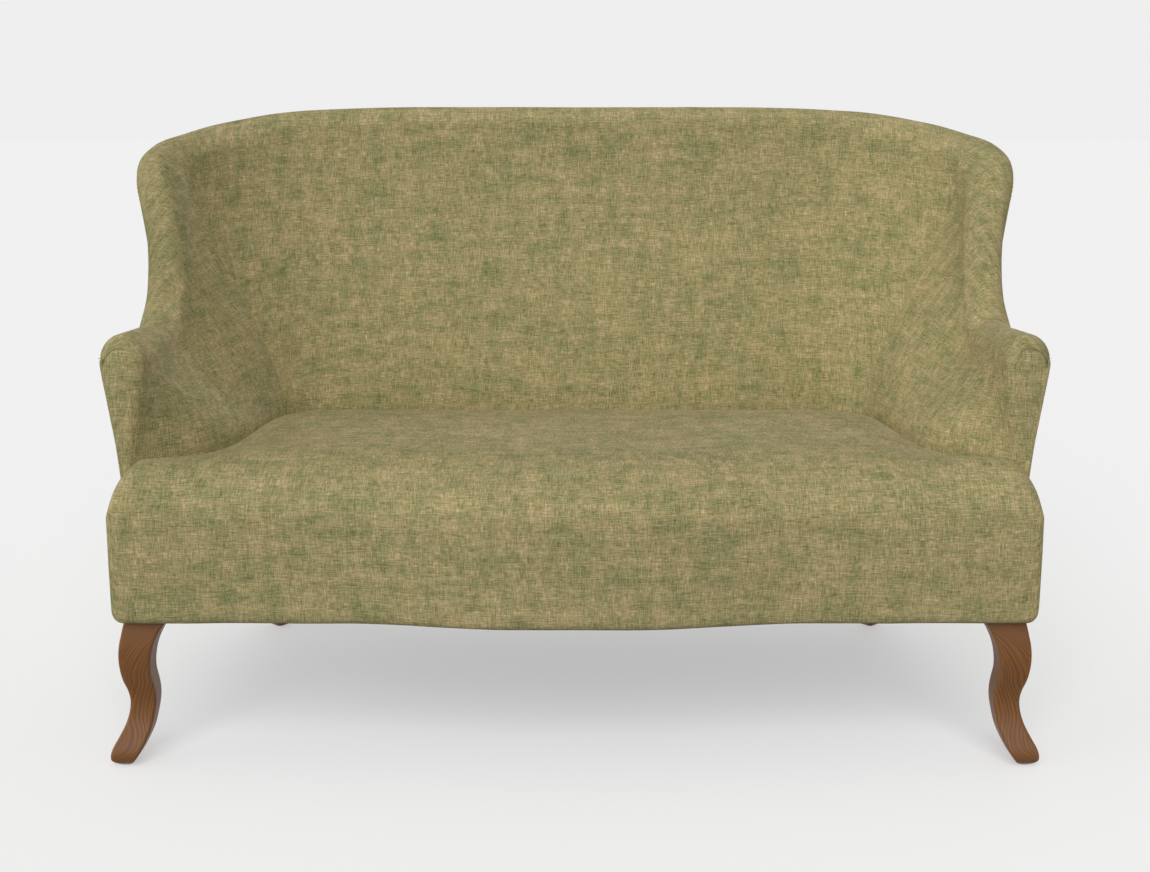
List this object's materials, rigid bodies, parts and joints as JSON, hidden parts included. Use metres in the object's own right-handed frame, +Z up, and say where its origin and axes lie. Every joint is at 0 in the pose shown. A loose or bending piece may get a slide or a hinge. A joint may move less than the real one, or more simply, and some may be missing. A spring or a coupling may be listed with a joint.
{
  "type": "high back settee",
  "caption": "High back settee with an all-round tub back, rolled low arms rising into wings, a tight bow front seat and carved cabriole front legs.",
  "frame": {"origin": "centre of the bounding box, on the floor under the settee", "axes": "+X across the seat towards the right arm as a sitter's front view shows it, +Y from the seat front to the back, +Z up"},
  "size_m": [1.5306, 0.77, 1.0231],
  "materials": {
    "cover_fabric": "woven slub linen look, matt",
    "show_wood": "stained hardwood, satin lacquer",
    "beech": "planed, unfinished",
    "foam": "upholstery foam and wadding",
    "hessian": "plain open weave",
    "webbing": "woven elastic strap",
    "dust_cloth": "thin black non-woven cloth",
    "spring_steel": "drawn wire",
    "zinc_steel": "zinc plated"
  },
  "bodies": {
    "root": {"front_rail": "beech", "rear_rail": "beech", "side_rail_left": "beech", "side_rail_right": "beech", "corner_rail_left": "beech", "corner_rail_right": "beech", "centre_stretcher": "beech", "corner_blocks": "beech", "arm_post_left": "beech", "arm_post_right": "beech", "wing_post_left": "beech", "wing_post_right": "beech", "back_post_left": "beech", "back_post_right": "beech", "centre_back_post": "beech", "arm_rail_left": "beech", "arm_rail_right": "beech", "wing_rail_left": "beech", "wing_rail_right": "beech", "top_rail": "beech", "arm_tack_rail_left": "beech", "arm_tack_rail_right": "beech", "back_tack_rail": "beech", "rail_dowels": "beech", "block_screws": "zinc_steel", "front_leg_left": "show_wood", "front_leg_right": "show_wood", "rear_leg_left": "show_wood", "rear_leg_right": "show_wood", "leg_bolts": "zinc_steel", "leg_nuts": "zinc_steel", "leg_glides": "zinc_steel", "seat_springs": "spring_steel", "spring_clips": "zinc_steel", "seat_hessian": "hessian", "back_webbing_upright": "webbing", "back_webbing_cross": "webbing", "back_hessian": "hessian", "arm_hessian_left": "hessian", "arm_hessian_right": "hessian", "seat_foam": "foam", "front_pad": "foam", "back_foam": "foam", "arm_foam_left": "foam", "arm_foam_right": "foam", "arm_front_pad_left": "foam", "arm_front_pad_right": "foam", "seat_cover": "cover_fabric", "inside_back_cover": "cover_fabric", "inside_arm_cover_left": "cover_fabric", "inside_arm_cover_right": "cover_fabric", "arm_facing_left": "cover_fabric", "arm_facing_right": "cover_fabric", "outside_arm_cover_left": "cover_fabric", "outside_arm_cover_right": "cover_fabric", "outside_back_cover": "cover_fabric", "dust_cover": "dust_cloth"}
  },
  "joints": []
}
